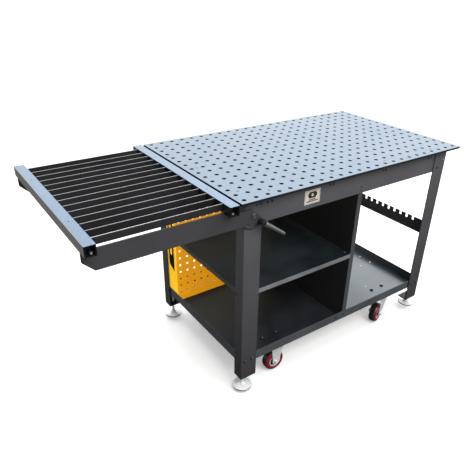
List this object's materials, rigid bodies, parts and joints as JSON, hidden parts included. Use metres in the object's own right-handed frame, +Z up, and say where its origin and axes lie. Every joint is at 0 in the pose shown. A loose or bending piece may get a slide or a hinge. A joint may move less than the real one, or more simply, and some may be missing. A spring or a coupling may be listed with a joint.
{
  "type": "welding table",
  "caption": "Mobile welding table with a perforated steel top, a fold-down slatted extension, shelves, a tool panel, levelling feet and casters.",
  "frame": {"origin": "on the floor under the middle of the whole table with its extension raised; the middle of the main top is at x = 0.2702", "axes": "+Z up, +X from the slatted extension along the table towards the open end, -Y towards the front apron with the nameplate"},
  "size_m": [1.7596, 0.8076, 0.9144],
  "materials": {
    "powder_coat": "satin",
    "worktop_steel": "satin",
    "yellow_coat": "satin",
    "zinc_plate": "bright",
    "chrome_plate": "polished",
    "wheel_red": "satin",
    "tyre_black": "satin",
    "lever_black": "satin",
    "lever_grey": "satin",
    "nameplate_metal": "satin",
    "bolt_dark": "satin"
  },
  "bodies": {
    "base": {"table_top": "worktop_steel", "leg_fl": "powder_coat", "leg_fr": "powder_coat", "leg_rl": "powder_coat", "leg_rr": "powder_coat", "apron_front": "powder_coat", "apron_rear": "powder_coat", "apron_left": "powder_coat", "apron_right": "powder_coat", "lower_tray": "powder_coat", "shelf_tray": "powder_coat", "divider_panel": "powder_coat", "pegboard": "yellow_coat", "tool_rack": "powder_coat", "nameplate": "nameplate_metal", "pivot_bolt_front": "bolt_dark", "pivot_bolt_rear": "bolt_dark", "caster_bracket_fl": "zinc_plate", "caster_bracket_rl": "zinc_plate", "caster_axle_fl": "zinc_plate", "caster_axle_rl": "zinc_plate", "caster_mount_fr": "zinc_plate", "caster_mount_rr": "zinc_plate"},
    "extension": {"arm_front": "powder_coat", "arm_rear": "powder_coat", "crossbar_outer": "worktop_steel", "crossbar_inner": "worktop_steel", "slat_01": "powder_coat", "slat_02": "powder_coat", "slat_03": "powder_coat", "slat_04": "powder_coat", "slat_05": "powder_coat", "slat_06": "powder_coat", "slat_07": "powder_coat", "slat_08": "powder_coat", "slat_09": "powder_coat", "slat_10": "powder_coat", "slat_11": "powder_coat", "slat_12": "powder_coat", "slat_13": "powder_coat", "slat_14": "powder_coat"},
    "lever_front": {"clamp_lever_front": "lever_black"},
    "lever_rear": {"clamp_lever_rear": "lever_black"},
    "foot_fl": {"foot_screw_fl": "zinc_plate", "foot_pad_fl": "chrome_plate"},
    "foot_fr": {"foot_screw_fr": "zinc_plate", "foot_pad_fr": "chrome_plate"},
    "foot_rl": {"foot_screw_rl": "zinc_plate", "foot_pad_rl": "chrome_plate"},
    "foot_rr": {"foot_screw_rr": "zinc_plate", "foot_pad_rr": "chrome_plate"},
    "wheel_fl": {"caster_wheel_fl": "wheel_red"},
    "wheel_rl": {"caster_wheel_rl": "wheel_red"},
    "wheel_fr": {"caster_wheel_fr": "wheel_red"},
    "swivel_fr": {"caster_yoke_fr": "zinc_plate", "caster_axle_fr": "zinc_plate"},
    "wheel_rr": {"caster_wheel_rr": "wheel_red"},
    "swivel_rr": {"caster_yoke_rr": "zinc_plate", "caster_axle_rr": "zinc_plate"}
  },
  "joints": [
    {"name": "extension_fold", "type": "hinge", "parent": "base", "child": "extension", "pos_m": [-0.2668, 0, 0.8405], "axis": [0, -1, 0], "range_deg": [0, 90]},
    {"name": "clamp_front", "type": "hinge", "parent": "base", "child": "lever_front", "pos_m": [-0.23661, 0, 0.81426], "axis": [0, -1, 0], "range_deg": [-50, 50]},
    {"name": "clamp_rear", "type": "hinge", "parent": "base", "child": "lever_rear", "pos_m": [-0.23661, 0, 0.81426], "axis": [0, 1, 0], "range_deg": [-50, 50]},
    {"name": "level_fl", "type": "slide", "parent": "base", "child": "foot_fl", "axis": [0, 0, 1], "range_m": [-0.03, 0.022]},
    {"name": "level_fr", "type": "slide", "parent": "base", "child": "foot_fr", "axis": [0, 0, 1], "range_m": [-0.047, 0.005]},
    {"name": "level_rl", "type": "slide", "parent": "base", "child": "foot_rl", "axis": [0, 0, 1], "range_m": [-0.03, 0.022]},
    {"name": "level_rr", "type": "slide", "parent": "base", "child": "foot_rr", "axis": [0, 0, 1], "range_m": [-0.03, 0.022]},
    {"name": "roll_fl", "type": "hinge", "parent": "base", "child": "wheel_fl", "pos_m": [-0.0844, -0.284, 0.05], "axis": [0, 1, 0], "continuous": true},
    {"name": "roll_rl", "type": "hinge", "parent": "base", "child": "wheel_rl", "pos_m": [-0.0844, 0.284, 0.05], "axis": [0, 1, 0], "continuous": true},
    {"name": "swivel_fr", "type": "hinge", "parent": "base", "child": "swivel_fr", "pos_m": [0.6248, -0.284, 0.14], "axis": [0, 0, 1], "continuous": true},
    {"name": "roll_fr", "type": "hinge", "parent": "swivel_fr", "child": "wheel_fr", "pos_m": [0.58533, -0.29836, 0.05], "axis": [0.342, -0.9397, 0], "continuous": true},
    {"name": "swivel_rr", "type": "hinge", "parent": "base", "child": "swivel_rr", "pos_m": [0.6248, 0.284, 0.14], "axis": [0, 0, 1], "continuous": true},
    {"name": "roll_rr", "type": "hinge", "parent": "swivel_rr", "child": "wheel_rr", "pos_m": [0.58423, 0.29487, 0.05], "axis": [-0.2588, -0.9659, 0], "continuous": true}
  ]
}
